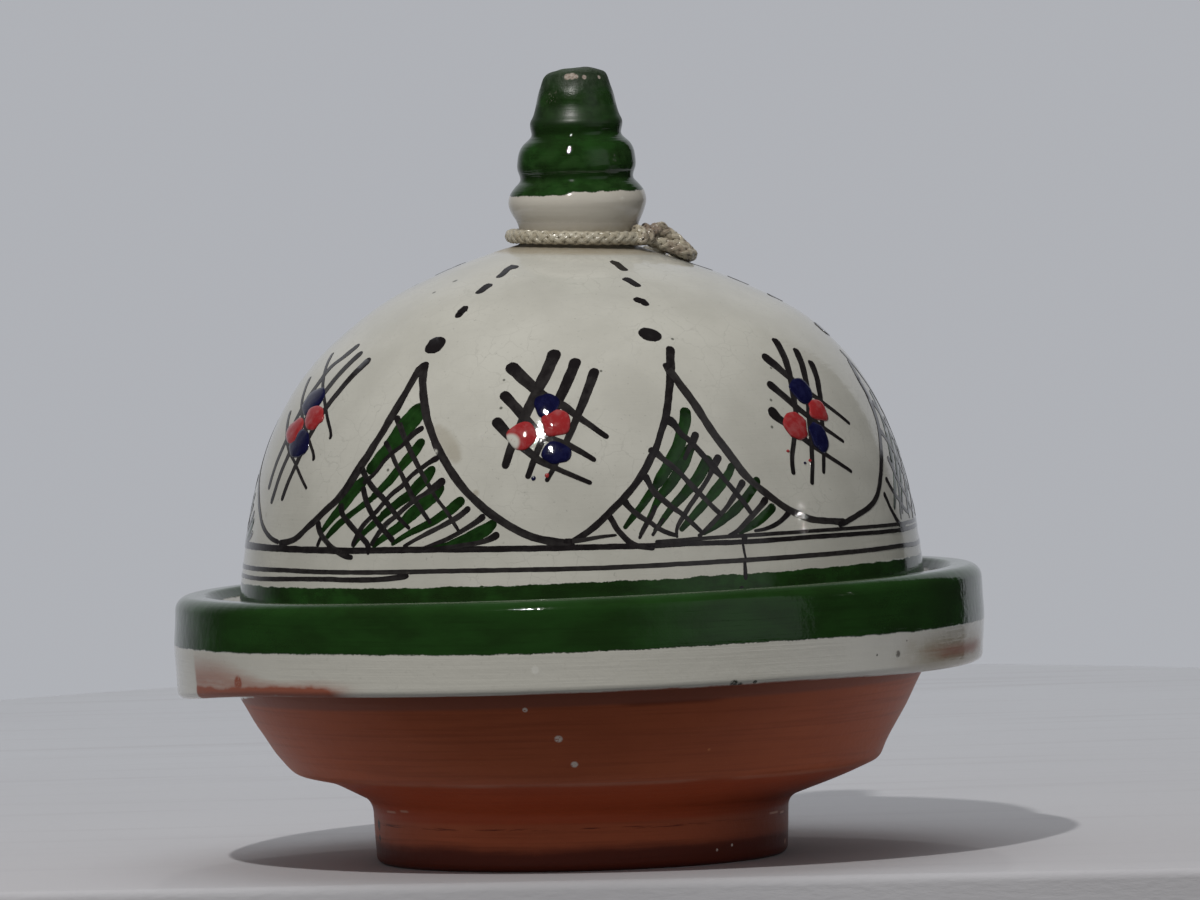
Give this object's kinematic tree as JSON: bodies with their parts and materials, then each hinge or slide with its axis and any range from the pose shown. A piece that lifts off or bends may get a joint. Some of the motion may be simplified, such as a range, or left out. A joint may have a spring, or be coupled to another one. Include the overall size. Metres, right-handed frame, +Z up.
{
  "type": "tagine",
  "caption": "Small glazed earthenware tagine: footed bowl with a lid gallery, painted domed lid with a ringed knob, and a braided cord tied round the knob's neck.",
  "frame": {"origin": "centre of the foot ring's underside, on the surface that the tagine stands on", "axes": "+Z up along the turning axis of the bowl and the lid; -Y is the side that the picture shows, with the cord's knot at +X"},
  "size_m": [0.1804, 0.1804, 0.1758],
  "materials": {
    "glazed_terracotta": "clear gloss glaze over red-brown clay, green and cream glaze on the rim band",
    "cream_glaze": "gloss cream glaze with hand-painted green and black strokes and raised enamel dots",
    "cord": "smooth braided yarn, slightly shiny"
  },
  "bodies": {
    "bowl": {"bowl": "glazed_terracotta"},
    "lid": {"lid": "cream_glaze", "neck_cord": "cord", "cord_knot": "cord", "cord_tail_long": "cord", "cord_tail_short": "cord"}
  },
  "joints": [
    {"name": "lid_lift", "type": "slide", "parent": "bowl", "child": "lid", "axis": [0, 0, 1], "range_m": [0, 0.15]}
  ]
}
